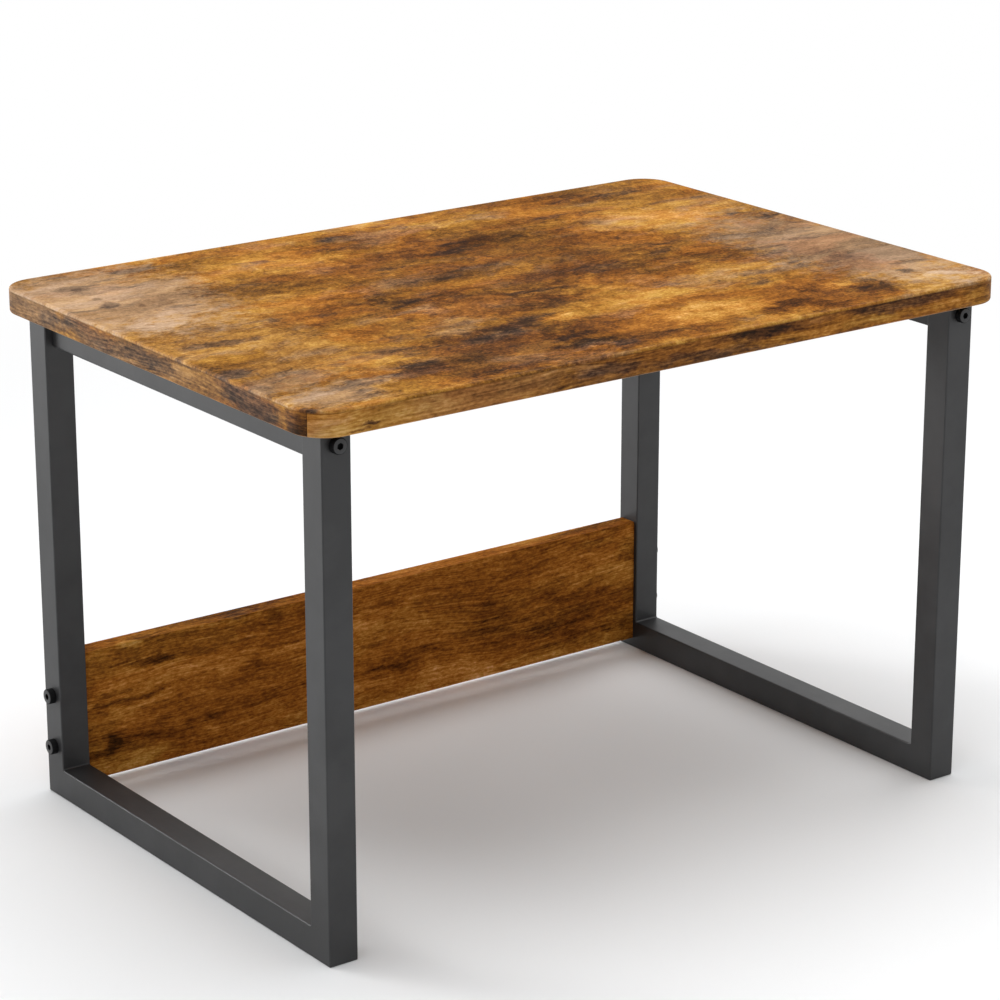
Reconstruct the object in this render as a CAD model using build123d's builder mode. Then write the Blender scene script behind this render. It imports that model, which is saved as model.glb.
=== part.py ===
from build123d import *
import os

# Countertop shelf: a wooden board on two steel side frames, with a low back board between them
# Origin on the worktop, under the middle of the board. X is the width, Y the depth, front at -Y
# All sizes are in millimetres

# Whole shelf
shelf_height = 360.0
board_width = 552.0
board_depth = 380.0
board_overhang = 15.0

# Top board and its edge band
board_thickness = 17.0
board_corner_radius = 23.0
band_thickness = 2.0
band_edge_radius = 1.5
band_seam_gap = 0.3
band_seam_angle = 30.0

# Square tube of the side frames
tube_size = 21.0
tube_wall = 1.2
tube_corner_radius = 1.0

# Flat tube under each side of the board
rail_width = 10.0
rail_height = 22.0
rail_wall = 1.2
rail_corner_radius = 1.5
rail_end_radius = 1.0
rail_block_length = 17.0

# Back board and its edge bands
back_board_height = 94.0
back_board_thickness = 15.0
back_board_ground_gap = 7.5
back_band_thickness = 1.0
back_band_joint = 0.1

# Low head socket bolts
bolt_diameter = 6.0
bolt_head_diameter = 10.5
bolt_head_height = 4.5
bolt_head_rim = 0.5
bolt_socket_flats = 4.0
bolt_socket_depth = 2.5
bolt_point = 0.8
bolt_hole_clearance = 0.5
thread_clearance = 0.1
leg_bolt_drop = 9.0
leg_bolt_bite = 15.0
back_bolt_spacing = 37.0

# Barrel nuts in the ends of the back board
barrel_diameter = 10.0
barrel_setback = 25.0
barrel_cover = 1.5
barrel_clearance = 0.2
barrel_slot_width = 1.5
barrel_slot_depth = 1.2
bolt_tip_room = 8.0

# Pan head screws that hold the board down on the flat tubes
screw_diameter = 4.0
screw_head_diameter = 8.0
screw_head_height = 2.6
screw_head_rim = 1.2
screw_point_length = 4.0
screw_cover = 4.0
screw_end_distance = 45.0
screw_hole_clearance = 0.4
screw_cross_width = 1.2
screw_cross_length = 4.4
screw_cross_depth = 1.4

# Fillets stay below this share of the wall that they are cut in
fillet_share = 0.9

# Sizes that follow from the ones above
leg_length = shelf_height - board_thickness
frame_width = board_width - 2 * board_overhang
frame_depth = board_depth - 2 * board_overhang
leg_x = (frame_width - tube_size) / 2
leg_y = (frame_depth - tube_size) / 2
tube_bore = tube_size - 2 * tube_wall
tube_bore_radius = max(tube_corner_radius - tube_wall, tube_wall / 4)
rail_length = frame_depth - 2 * tube_size
rail_bore_width = rail_width - 2 * rail_wall
rail_bore_height = rail_height - 2 * rail_wall
rail_bore_radius = max(rail_corner_radius - rail_wall, rail_wall / 4)
rail_z = leg_length - rail_height / 2
rail_end_round = min(rail_end_radius, fillet_share * rail_wall)
band_round = min(band_edge_radius, fillet_share * band_thickness)
core_width = board_width - 2 * band_thickness
core_depth = board_depth - 2 * band_thickness
core_corner_radius = board_corner_radius - band_thickness
bolt_hole_radius = (bolt_diameter + bolt_hole_clearance) / 2
thread_radius = (bolt_diameter + thread_clearance) / 2
leg_bolt_z = leg_length - leg_bolt_drop
leg_bolt_length = tube_size + leg_bolt_bite
back_board_span = frame_width - 2 * tube_size
back_board_core_span = back_board_span - 2 * back_band_thickness
back_board_core_height = back_board_height - 2 * back_band_thickness
back_board_z = back_board_ground_gap + back_board_height / 2
back_bolt_length = tube_size + barrel_setback + barrel_diameter / 2
back_bolt_heights = (back_board_z - back_bolt_spacing / 2, back_board_z + back_bolt_spacing / 2)
barrel_length = back_board_thickness - 2 * barrel_cover
barrel_x = back_board_span / 2 - barrel_setback
screw_length = rail_height + board_thickness - screw_cover
screw_y = rail_length / 2 - screw_end_distance
screw_places = [(side * leg_x, end * screw_y) for side in (-1, 1) for end in (-1, 1)]
sides = {"left": -1, "right": 1}
ends = {"front": -1, "rear": 1}

os.makedirs("parts", exist_ok=True)

# The board's core, with blind holes underneath for the four screws
with BuildPart() as top_board:
    with BuildSketch(Plane.XY.offset(leg_length)):
        RectangleRounded(core_width, core_depth, core_corner_radius)
    extrude(amount=board_thickness)
    with BuildSketch(Plane.XY.offset(leg_length)):
        with Locations(*screw_places):
            Circle((screw_diameter + thread_clearance) / 2)
    extrude(amount=board_thickness - screw_cover, mode=Mode.SUBTRACT)
top_board.part.label = "top_board"
export_step(top_board.part, "parts/top_board.step")

# The band glued round the core, softened at both rims, its two ends meeting on one corner
with BuildPart() as top_edge_band:
    with BuildSketch(Plane.XY.offset(leg_length)):
        RectangleRounded(board_width, board_depth, board_corner_radius)
    extrude(amount=board_thickness)
    rims = top_edge_band.edges().filter_by(Axis.Z, reverse=True)
    fillet(rims, radius=band_round)
    with BuildSketch(Plane.XY.offset(leg_length)):
        RectangleRounded(core_width, core_depth, core_corner_radius)
    extrude(amount=board_thickness, mode=Mode.SUBTRACT)
    seam_corner = (board_corner_radius - board_width / 2, board_corner_radius - board_depth / 2, leg_length)
    with BuildSketch(Plane(origin=seam_corner)):
        with PolarLocations(board_corner_radius - band_thickness / 2, 1, start_angle=180 + band_seam_angle):
            Rectangle(2 * band_thickness, band_seam_gap)
    extrude(amount=board_thickness, mode=Mode.SUBTRACT)
top_edge_band.part.label = "top_edge_band"
export_step(top_edge_band.part, "parts/top_edge_band.step")

# Side view of a whole side frame, rounded at its two lowest corners
with BuildPart(mode=Mode.PRIVATE) as frame_outline:
    with BuildSketch(Plane.YZ) as side_view:
        with Locations((0, leg_length / 2)):
            Rectangle(frame_depth, leg_length)
        fillet(side_view.vertices().group_by(Axis.Y)[0], radius=tube_corner_radius)
    extrude(amount=frame_width, both=True)


def mitre_plane(end):
    """The slanted plane where a leg meets the bottom rail, facing the leg."""
    return Plane(origin=(0, end * frame_depth / 2, 0), z_dir=(0, end, 1))


# Four legs: square tubes mitred at the foot, drilled at the top, the rear ones also for the back board
for side_name, side in sides.items():
    for end_name, end in ends.items():
        leg_axis = (side * leg_x, end * leg_y)
        with BuildPart() as leg:
            with BuildSketch():
                with Locations(leg_axis):
                    RectangleRounded(tube_size, tube_size, tube_corner_radius)
                    RectangleRounded(tube_bore, tube_bore, tube_bore_radius, mode=Mode.SUBTRACT)
            extrude(amount=leg_length)
            add(frame_outline.part, mode=Mode.INTERSECT)
            split(bisect_by=mitre_plane(end), keep=Keep.TOP)
            with Locations(Plane(origin=(*leg_axis, leg_bolt_z), z_dir=(0, end, 0))):
                Hole(bolt_hole_radius, depth=tube_size)
            if end_name == "rear":
                for height in back_bolt_heights:
                    with Locations(Plane(origin=(*leg_axis, height), z_dir=(side, 0, 0))):
                        Hole(bolt_hole_radius, depth=tube_size)
        leg.part.label = f"{side_name}_{end_name}_leg"
        export_step(leg.part, f"parts/{leg.part.label}.step")

# Two bottom rails: the same tube lying on the worktop, mitred to the legs at both ends
for side_name, side in sides.items():
    with BuildPart() as bottom_rail:
        with BuildSketch(Plane.XZ):
            with Locations((side * leg_x, tube_size / 2)):
                RectangleRounded(tube_size, tube_size, tube_corner_radius)
                RectangleRounded(tube_bore, tube_bore, tube_bore_radius, mode=Mode.SUBTRACT)
        extrude(amount=frame_depth / 2, both=True)
        add(frame_outline.part, mode=Mode.INTERSECT)
        for end in ends.values():
            split(bisect_by=mitre_plane(end), keep=Keep.BOTTOM)
    bottom_rail.part.label = f"{side_name}_bottom_rail"
    export_step(bottom_rail.part, f"parts/{bottom_rail.part.label}.step")

# Two top rails: flat tubes between the legs, right under the board, drilled for the screws
for side_name, side in sides.items():
    with BuildPart() as top_rail:
        with BuildSketch(Plane.XZ):
            with Locations((side * leg_x, rail_z)):
                RectangleRounded(rail_width, rail_height, rail_corner_radius)
        extrude(amount=rail_length / 2, both=True)
        end_faces = top_rail.faces().filter_by(Axis.Y)
        fillet(end_faces.edges(), radius=rail_end_round)
        with BuildSketch(Plane.XZ):
            with Locations((side * leg_x, rail_z)):
                RectangleRounded(rail_bore_width, rail_bore_height, rail_bore_radius)
        extrude(amount=rail_length / 2, both=True, mode=Mode.SUBTRACT)
        with BuildSketch(Plane.XY.offset(leg_length)):
            with Locations((side * leg_x, -screw_y), (side * leg_x, screw_y)):
                Circle((screw_diameter + screw_hole_clearance) / 2)
        extrude(amount=-rail_height, mode=Mode.SUBTRACT)
    top_rail.part.label = f"{side_name}_top_rail"
    export_step(top_rail.part, f"parts/{top_rail.part.label}.step")

# Threaded blocks welded into the four ends of the top rails
with BuildPart() as rail_end_blocks:
    for side in sides.values():
        for end in ends.values():
            block_plane = Plane(origin=(side * leg_x, end * rail_length / 2, 0), x_dir=(1, 0, 0), z_dir=(0, -1, 0))
            with BuildSketch(block_plane):
                with Locations((0, rail_z)):
                    RectangleRounded(rail_bore_width, rail_bore_height, rail_bore_radius)
                with Locations((0, leg_bolt_z)):
                    Circle(thread_radius, mode=Mode.SUBTRACT)
            extrude(amount=end * rail_block_length)
rail_end_blocks.part.label = "rail_end_blocks"
export_step(rail_end_blocks.part, "parts/rail_end_blocks.step")

# The back board's core, with bolt holes in its ends and cross holes from behind for the barrel nuts
with BuildPart() as back_board:
    with Locations((0, leg_y, back_board_z)):
        Box(back_board_core_span, back_board_thickness, back_board_core_height)
    for side in sides.values():
        for height in back_bolt_heights:
            with Locations(Plane(origin=(side * back_board_span / 2, leg_y, height), z_dir=(side, 0, 0))):
                Hole(bolt_hole_radius, depth=barrel_setback + bolt_tip_room)
            rear_face = leg_y + back_board_thickness / 2
            with Locations(Plane(origin=(side * barrel_x, rear_face, height), z_dir=(0, 1, 0))):
                Hole((barrel_diameter + barrel_clearance) / 2, depth=barrel_length + barrel_cover)
back_board.part.label = "back_board"
export_step(back_board.part, "parts/back_board.step")

# Four straight strips glued on the back board's edges, the short ones drilled for the bolts
with BuildPart() as back_board_edge_bands:
    with BuildSketch(Plane.XZ.offset(-leg_y)):
        with GridLocations(0, back_board_height - back_band_thickness, 1, 2):
            with Locations((0, back_board_z)):
                Rectangle(back_board_span, back_band_thickness)
        with GridLocations(back_board_span - back_band_thickness, 0, 2, 1):
            with Locations((0, back_board_z)):
                Rectangle(back_band_thickness, back_board_core_height - 2 * back_band_joint)
    extrude(amount=back_board_thickness / 2, both=True)
    for side in sides.values():
        for height in back_bolt_heights:
            with Locations(Plane(origin=(side * back_board_span / 2, leg_y, height), z_dir=(side, 0, 0))):
                Hole(bolt_hole_radius, depth=2 * back_band_thickness)
back_board_edge_bands.part.label = "back_board_edge_bands"
export_step(back_board_edge_bands.part, "parts/back_board_edge_bands.step")


def bolt_shape(length):
    """A low head socket bolt: underside of the head at the origin, head along +Z, shank along -Z."""
    with BuildPart() as bolt:
        with BuildSketch():
            Circle(bolt_head_diameter / 2)
        extrude(amount=bolt_head_height)
        fillet(bolt.edges().sort_by(Axis.Z)[-1], radius=bolt_head_rim)
        with BuildSketch(Plane.XY.offset(bolt_head_height)):
            RegularPolygon(bolt_socket_flats / 2, 6, major_radius=False)
        extrude(amount=-bolt_socket_depth, mode=Mode.SUBTRACT)
        with BuildSketch():
            Circle(bolt_diameter / 2)
        extrude(amount=-length)
        chamfer(bolt.edges().sort_by(Axis.Z)[0], length=bolt_point)
    return bolt.part


# Bolts through the tops of the four legs into the ends of the top rails
leg_bolt = bolt_shape(leg_bolt_length)
with BuildPart() as leg_bolts:
    for side in sides.values():
        for end in ends.values():
            with Locations(Plane(origin=(side * leg_x, end * frame_depth / 2, leg_bolt_z), z_dir=(0, end, 0))):
                add(leg_bolt)
leg_bolts.part.label = "leg_bolts"
export_step(leg_bolts.part, "parts/leg_bolts.step")

# Bolts through the rear legs into the ends of the back board
back_bolt = bolt_shape(back_bolt_length)
with BuildPart() as back_board_bolts:
    for side in sides.values():
        for height in back_bolt_heights:
            with Locations(Plane(origin=(side * frame_width / 2, leg_y, height), z_dir=(side, 0, 0))):
                add(back_bolt)
back_board_bolts.part.label = "back_board_bolts"
export_step(back_board_bolts.part, "parts/back_board_bolts.step")

# Barrel nuts: short steel rods across the back board, each with a cross thread and a driver slot
with BuildPart(mode=Mode.PRIVATE) as barrel_nut:
    with BuildSketch(Plane.XY.offset(-barrel_length / 2)):
        Circle(barrel_diameter / 2)
    extrude(amount=barrel_length)
    with Locations(Plane.YZ):
        Hole(thread_radius, depth=barrel_diameter)
    with BuildSketch(Plane.XY.offset(barrel_length / 2)):
        Rectangle(barrel_diameter, barrel_slot_width)
    extrude(amount=-barrel_slot_depth, mode=Mode.SUBTRACT)
with BuildPart() as barrel_nuts:
    for side in sides.values():
        for height in back_bolt_heights:
            with Locations(Plane(origin=(side * barrel_x, leg_y, height), x_dir=(1, 0, 0), z_dir=(0, 1, 0))):
                add(barrel_nut.part)
barrel_nuts.part.label = "barrel_nuts"
export_step(barrel_nuts.part, "parts/barrel_nuts.step")

# Pan head screws, driven up through the top rails into the board
with BuildPart(mode=Mode.PRIVATE) as board_screw:
    with BuildSketch():
        Circle(screw_head_diameter / 2)
    extrude(amount=-screw_head_height)
    fillet(board_screw.edges().sort_by(Axis.Z)[0], radius=screw_head_rim)
    with BuildSketch(Plane.XY.offset(-screw_head_height)):
        Rectangle(screw_cross_length, screw_cross_width)
        Rectangle(screw_cross_width, screw_cross_length)
    extrude(amount=screw_cross_depth, mode=Mode.SUBTRACT)
    with BuildSketch():
        Circle(screw_diameter / 2)
    extrude(amount=screw_length)
    tip_edge = board_screw.edges().sort_by(Axis.Z)[-1]
    chamfer(tip_edge, length=screw_point_length, length2=fillet_share * screw_diameter / 2)
with BuildPart() as board_screws:
    for place in screw_places:
        with Locations((*place, leg_length - rail_height)):
            add(board_screw.part)
board_screws.part.label = "board_screws"
export_step(board_screws.part, "parts/board_screws.step")
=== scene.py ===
# %% [markdown]
# # A countertop shelf, dressed in Blender
#
# The shelf is a wooden board on two black steel side frames, with a low wooden board between the rear legs.
# Its real pieces are already modelled to size, and they load here as a fixed frame. This lesson gives each
# one its looks: smooth meshes with rounded edges, a rustic wood decor, black powder coat, and a plain studio.
#
# Everything is in metres. X runs along the width, Y to the rear and Z up, and the worktop is at Z = 0.

# %% Load the frame
import math

import bmesh
import bpy
from mathutils import Matrix, Vector


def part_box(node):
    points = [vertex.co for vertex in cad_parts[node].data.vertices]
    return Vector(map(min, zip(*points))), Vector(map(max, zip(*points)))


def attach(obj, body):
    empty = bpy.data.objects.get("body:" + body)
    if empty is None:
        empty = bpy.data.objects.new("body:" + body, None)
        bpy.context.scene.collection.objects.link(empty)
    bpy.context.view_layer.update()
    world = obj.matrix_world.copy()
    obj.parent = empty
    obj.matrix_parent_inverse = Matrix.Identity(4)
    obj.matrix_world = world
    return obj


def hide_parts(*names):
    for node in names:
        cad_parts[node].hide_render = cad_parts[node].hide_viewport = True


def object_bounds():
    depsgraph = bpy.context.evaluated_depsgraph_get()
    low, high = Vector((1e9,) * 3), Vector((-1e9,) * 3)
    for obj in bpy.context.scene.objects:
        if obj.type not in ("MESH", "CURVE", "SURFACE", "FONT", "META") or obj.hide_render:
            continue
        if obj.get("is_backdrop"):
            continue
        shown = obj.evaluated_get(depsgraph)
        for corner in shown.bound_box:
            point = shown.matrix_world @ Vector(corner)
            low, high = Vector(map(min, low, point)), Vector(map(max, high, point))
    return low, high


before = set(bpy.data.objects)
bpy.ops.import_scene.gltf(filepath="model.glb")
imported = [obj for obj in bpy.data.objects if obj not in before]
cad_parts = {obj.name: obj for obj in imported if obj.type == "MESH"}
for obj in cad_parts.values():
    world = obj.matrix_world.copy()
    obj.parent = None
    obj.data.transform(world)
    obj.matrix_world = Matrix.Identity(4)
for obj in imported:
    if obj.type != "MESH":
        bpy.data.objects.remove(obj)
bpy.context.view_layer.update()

# %% [markdown]
# ## The camera
#
# The photograph's camera stands at the front left, a bit above the board. It could be aimed by hand, but the
# board's outline has to match, so its angle, distance and lens were fitted to the shelf's corners. A long
# lens of 122 mm from 2.3 m away keeps the board's long edges almost as parallel as they look there.

# %% The camera
camera_azimuth = math.radians(-36.35)
camera_elevation = math.radians(17.97)
camera_distance = 2.3129
camera_lens = 122.4
camera_aim_height = 0.172
camera_aim_right = -0.00222
camera_aim_up = 0.03251

back = Vector((
    math.sin(camera_azimuth) * math.cos(camera_elevation),
    -math.cos(camera_azimuth) * math.cos(camera_elevation),
    math.sin(camera_elevation),
))
right = Vector((math.cos(camera_azimuth), math.sin(camera_azimuth), 0))
up = back.cross(right)

camera_data = bpy.data.cameras.new("camera")
camera_data.lens = camera_lens
camera = bpy.data.objects.new("camera", camera_data)
bpy.context.scene.collection.objects.link(camera)
aim = Vector((0, 0, camera_aim_height)) + camera_aim_right * right + camera_aim_up * up
camera.location = aim + camera_distance * back
camera.rotation_mode = "QUATERNION"
camera.rotation_quaternion = (-back).to_track_quat("-Z", "Y")
bpy.context.scene.camera = camera
print("camera at", [round(v, 3) for v in camera.location])

# %% [markdown]
# ## Sizes from the frame
#
# Every piece takes its place from the frame, so nothing has to be fitted afterwards. Only the roundings and
# walls, which a box can't tell, are written here as real sizes.

# %% Sizes from the frame
MM = 0.001
board_low, board_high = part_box("top_edge_band")
leg_low, leg_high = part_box("left_front_leg")
rail_low, rail_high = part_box("left_top_rail")
back_low, back_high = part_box("back_board")
strip_low, strip_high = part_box("back_board_edge_bands")
nut_low, nut_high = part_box("barrel_nuts")
screw_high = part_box("board_screws")[1]
leg_bolt_low, leg_bolt_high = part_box("leg_bolts")
back_bolt_low, back_bolt_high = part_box("back_board_bolts")

tube = leg_high.x - leg_low.x
leg_top = leg_high.z
leg_x = -(leg_low.x + leg_high.x) / 2
frame_front = leg_low.y
frame_rear = -frame_front
board_thickness = board_high.z - board_low.z
sides = {"left": -1, "right": 1}
print("tube", round(tube / MM, 1), "mm, leg height", round(leg_top / MM, 1), "mm")

# %% [markdown]
# ## A few helpers for meshes
#
# Each piece starts as a bmesh, the mesh that scripts can shape with the same operators as the editor has:
# extrude, inset, bevel, bridge. `finish_piece` turns it into an object that rides on the frame.
#
# Rounded edges on a flat bar need one more step. With plain smooth shading, the roundings would tint the
# flats beside them. A Weighted Normal modifier lets the large faces keep their own direction, so the flats
# stay flat and only the roundings catch the light.

# %% Helpers for meshes
def close_to(a, b):
    """True where two lengths are the same to a hundredth of a millimetre."""
    return abs(a - b) < 0.01 * MM


def bevel_edges(bm, edges, size, segments):
    """Round these edges."""
    return bmesh.ops.bevel(
        bm, geom=edges, offset=size, offset_type="OFFSET", affect="EDGES",
        segments=segments, profile=0.5, material=-1,
    )


def bevel_corners(bm, verts, size, segments):
    """Round these corners of a flat outline."""
    return bmesh.ops.bevel(
        bm, geom=verts, offset=size, offset_type="OFFSET", affect="VERTICES",
        segments=segments, profile=0.5, material=-1,
    )


def outline_face(bm, points):
    """One face through a few given points."""
    return bm.faces.new([bm.verts.new(p) for p in points])


def extrude(bm, faces, move):
    """Push faces along a vector, and return the faces at the new end."""
    faces = list(faces)
    inside = [f for f in faces if any(len(e.link_faces) > 1 for e in f.edges)]
    made = bmesh.ops.extrude_face_region(bm, geom=faces)["geom"]
    bmesh.ops.translate(bm, verts=[g for g in made if isinstance(g, bmesh.types.BMVert)], vec=move)
    # a lone face stays as the start cap, but one that was part of a solid would be left inside it
    bmesh.ops.delete(bm, geom=[f for f in inside if f.is_valid], context="FACES_ONLY")
    return [g for g in made if isinstance(g, bmesh.types.BMFace)]


def finish_piece(name, bm, materials, nodes, sharp_angle=50, weighted=True):
    """Make the object, shade it smooth, and let it ride on the frame in place of its nodes."""
    bmesh.ops.remove_doubles(bm, verts=bm.verts, dist=0.001 * MM)
    bmesh.ops.recalc_face_normals(bm, faces=bm.faces)
    open_edges = sum(1 for e in bm.edges if len(e.link_faces) != 2)
    mesh = bpy.data.meshes.new(name)
    bm.to_mesh(mesh)
    bm.free()
    for material in materials:
        mesh.materials.append(material)
    mesh.shade_smooth()
    mesh.set_sharp_from_angle(angle=math.radians(sharp_angle))
    piece = bpy.data.objects.new(name, mesh)
    bpy.context.scene.collection.objects.link(piece)
    if weighted:
        modifier = piece.modifiers.new("flat faces", "WEIGHTED_NORMAL")
        modifier.weight = 100
        modifier.keep_sharp = True
    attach(piece, "root")
    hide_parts(*nodes)
    print(f"{name}: {len(mesh.polygons)} faces, {open_edges} open edges")
    return piece


# %% [markdown]
# ## A few helpers for materials
#
# A procedural material is a small net of nodes. These helpers keep the nets short enough to read: `node`
# adds one and feeds its sockets, `calc` is one step of arithmetic, `noise` is a cloud of a real size in
# millimetres, and `ramp` turns a number into a colour.

# %% Helpers for materials
def node(tree, kind, feeds=None, **settings):
    """Add a node, set its properties, and feed its sockets with values or other sockets."""
    made = tree.nodes.new(kind)
    for key, value in settings.items():
        setattr(made, key, value)
    for socket, value in (feeds or {}).items():
        if isinstance(value, bpy.types.NodeSocket):
            tree.links.new(value, made.inputs[socket])
        else:
            made.inputs[socket].default_value = value
    return made


def calc(tree, operation, *values, clamp=False):
    """One step of arithmetic."""
    feeds = dict(enumerate(values))
    return node(tree, "ShaderNodeMath", feeds, operation=operation, use_clamp=clamp).outputs[0]


def stretch(tree, vector, scale, place=(0, 0, 0)):
    """Scale and shift coordinates."""
    feeds = {"Vector": vector, "Scale": scale, "Location": place}
    return node(tree, "ShaderNodeMapping", feeds).outputs[0]


def noise(tree, vector, size_mm, detail=3.0, roughness=0.55, output="Fac"):
    """A cloud whose blots are about this many millimetres across."""
    feeds = {"Vector": vector, "Scale": 1000.0 / size_mm, "Detail": detail, "Roughness": roughness}
    return node(tree, "ShaderNodeTexNoise", feeds).outputs[output]


def spread(tree, value, low, high, to_low=0.0, to_high=1.0):
    """Map a range of numbers to another, with soft ends."""
    feeds = {"Value": value, "From Min": low, "From Max": high, "To Min": to_low, "To Max": to_high}
    return node(tree, "ShaderNodeMapRange", feeds, interpolation_type="SMOOTHSTEP").outputs[0]


def blend_colour(tree, factor, first, second, kind="MIX"):
    """Mix two colours."""
    feeds = {0: factor, 6: first, 7: second}
    return node(tree, "ShaderNodeMix", feeds, data_type="RGBA", blend_type=kind).outputs[2]


def srgb(red, green, blue):
    """A colour as a paint program gives it, 0 to 255, in Blender's linear numbers."""
    def linear(part):
        share = part / 255
        return share / 12.92 if share <= 0.04045 else ((share + 0.055) / 1.055) ** 2.4
    return (linear(red), linear(green), linear(blue), 1.0)


def ramp(tree, value, stops):
    """A colour ramp through (position, colour) stops."""
    made = node(tree, "ShaderNodeValToRGB", {"Fac": value})
    elements = made.color_ramp.elements
    while len(elements) < len(stops):
        elements.new(0.5)
    for element, (position, colour) in zip(elements, stops):
        element.position = position
        element.color = colour
    return made.outputs["Color"]


def new_material(name):
    """An empty material with a Principled shader, and the tree that it is in."""
    material = bpy.data.materials.new(name)
    material.use_nodes = True
    tree = material.node_tree
    return material, tree, tree.nodes["Principled BSDF"]


def object_place(tree):
    """The place on the piece, in metres."""
    return node(tree, "ShaderNodeTexCoord").outputs["Object"]


def bump(tree, height, depth_mm, normal=None):
    """Relief from a height of 0 to 1, as deep as this."""
    feeds = {"Height": height, "Strength": 1.0, "Distance": depth_mm * MM}
    if normal is not None:
        feeds["Normal"] = normal
    return node(tree, "ShaderNodeBump", feeds).outputs["Normal"]


# %% [markdown]
# ## The black powder coat
#
# Powder coat is sprayed on dry and melts into a skin about 0.08 mm thick. It is satin rather than matt, and
# up close it has the fine waves of orange peel. Those waves come from two noises in the bump, a few
# millimetres and under a millimetre across. The gloss varies a little too, as on any steel that was handled.

# %% The black powder coat
coat_dark = srgb(31, 31, 32)
coat_light = srgb(41, 41, 42)


def powder_coat():
    material, tree, shader = new_material("black_powder_coat")
    place = object_place(tree)
    cloud = noise(tree, place, 38, 4)
    peel = noise(tree, place, 2.6, 2)
    grit = noise(tree, place, 0.7, 2)
    colour = blend_colour(tree, spread(tree, cloud, 0.35, 0.65), coat_dark, coat_light)
    tree.links.new(colour, shader.inputs["Base Color"])
    handled = noise(tree, place, 70, 5, 0.6)
    rough = spread(tree, handled, 0.3, 0.7, 0.38, 0.46)
    rough = calc(tree, "ADD", rough, calc(tree, "MULTIPLY", grit, 0.05))
    tree.links.new(rough, shader.inputs["Roughness"])
    relief = calc(tree, "ADD", calc(tree, "MULTIPLY", peel, 0.7), calc(tree, "MULTIPLY", grit, 0.3))
    tree.links.new(bump(tree, relief, 0.035), shader.inputs["Normal"])
    return material


coat = powder_coat()
print("material:", coat.name)

# %% [markdown]
# ## Bolts and hidden steel
#
# The bolts are black too, but oxidised rather than coated. A bolt gets two materials, and the mesh says which
# face takes which: the flat faces a dark grey, the sides a near-black that is much darker and duller. The
# barrel nuts, screws and end blocks are zinc plated: a pale, slightly mottled metal. All three are made in
# the same way, with other colours and another gloss, so one function makes them.

# %% Bolts and hidden steel
def bare_steel(name, greys, cloud_mm, cloud_roughness, dullness, grain_mm, grain_depth):
    """Steel with a cloudy tint, a gloss that follows the cloud, and a fine grain."""
    material, tree, shader = new_material(name)
    place = object_place(tree)
    cloud = noise(tree, place, cloud_mm, 4, cloud_roughness)
    tree.links.new(ramp(tree, cloud, greys), shader.inputs["Base Color"])
    tree.links.new(spread(tree, cloud, 0.3, 0.7, *dullness), shader.inputs["Roughness"])
    tree.links.new(bump(tree, noise(tree, place, grain_mm, 3), grain_depth), shader.inputs["Normal"])
    return material, shader


ground_greys = [(0.3, srgb(25, 25, 26)), (0.7, srgb(35, 35, 36))]
dull_greys = [(0.3, srgb(8, 8, 9)), (0.7, srgb(14, 14, 15))]
zinc_greys = [(0.3, srgb(168, 170, 172)), (0.55, srgb(196, 197, 196)), (0.75, srgb(206, 203, 190))]

bolt_face, _ = bare_steel(
    "black_oxide_ground", ground_greys, cloud_mm=3, cloud_roughness=0.55,
    dullness=(0.36, 0.48), grain_mm=0.5, grain_depth=0.01,
)
bolt_side, side_shader = bare_steel(
    "black_oxide_dull", dull_greys, cloud_mm=2, cloud_roughness=0.55,
    dullness=(0.6, 0.75), grain_mm=0.4, grain_depth=0.02,
)
side_shader.inputs["Specular IOR Level"].default_value = 0.12
zinc, zinc_shader = bare_steel(
    "zinc_plated", zinc_greys, cloud_mm=1.8, cloud_roughness=0.6,
    dullness=(0.26, 0.42), grain_mm=0.6, grain_depth=0.008,
)
zinc_shader.inputs["Metallic"].default_value = 1.0
print("materials:", bolt_face.name, bolt_side.name, zinc.name)

# %% [markdown]
# ## The rustic wood decor
#
# The board isn't solid wood. It is particle board with a printed decor: golden and brown fields that run into
# each other, dark clouds, ash-grey smudges, fine fibres along the grain, and pores. One node group makes that
# decor, and every wooden surface uses it, so the board and its edges belong together.
#
# The group works on one number, the tone, from dark brown at 0 to pale gold at 1. Colour ramps turn it into
# wood at the very end, and that is easier to steer than many layers of colour. There are two ramps, a warm
# one and a greyer one, because the print has both: `ash` says how much of the greyer one shows. `rust` then
# makes some fields redder.
#
# What makes it look printed from real wood is the range of sizes. Fields of a hand's width carry mottling of
# a few millimetres, and that carries speckles and fibres of a millimetre and less. `fibrous` blends the
# mottling from round clouds, as on the top, to streaks, as on the edges. `calm` softens all the fine parts
# where the wood is pale or grey, because a print's light fields are smoother than its dark ones.

# %% The rustic wood decor
warm_stops = [
    (0.00, srgb(38, 26, 14)),
    (0.15, srgb(64, 41, 18)),
    (0.30, srgb(96, 62, 25)),
    (0.45, srgb(129, 86, 33)),
    (0.60, srgb(159, 111, 43)),
    (0.75, srgb(186, 140, 65)),
    (0.90, srgb(209, 170, 100)),
    (1.00, srgb(224, 192, 134)),
]
ash_stops = [
    (0.00, srgb(36, 29, 25)),
    (0.15, srgb(62, 50, 42)),
    (0.30, srgb(92, 73, 58)),
    (0.45, srgb(122, 98, 76)),
    (0.60, srgb(151, 122, 95)),
    (0.75, srgb(178, 147, 118)),
    (0.90, srgb(201, 172, 144)),
    (1.00, srgb(218, 194, 168)),
]
rust_filter = (1.0, 0.83, 0.78, 1.0)


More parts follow.
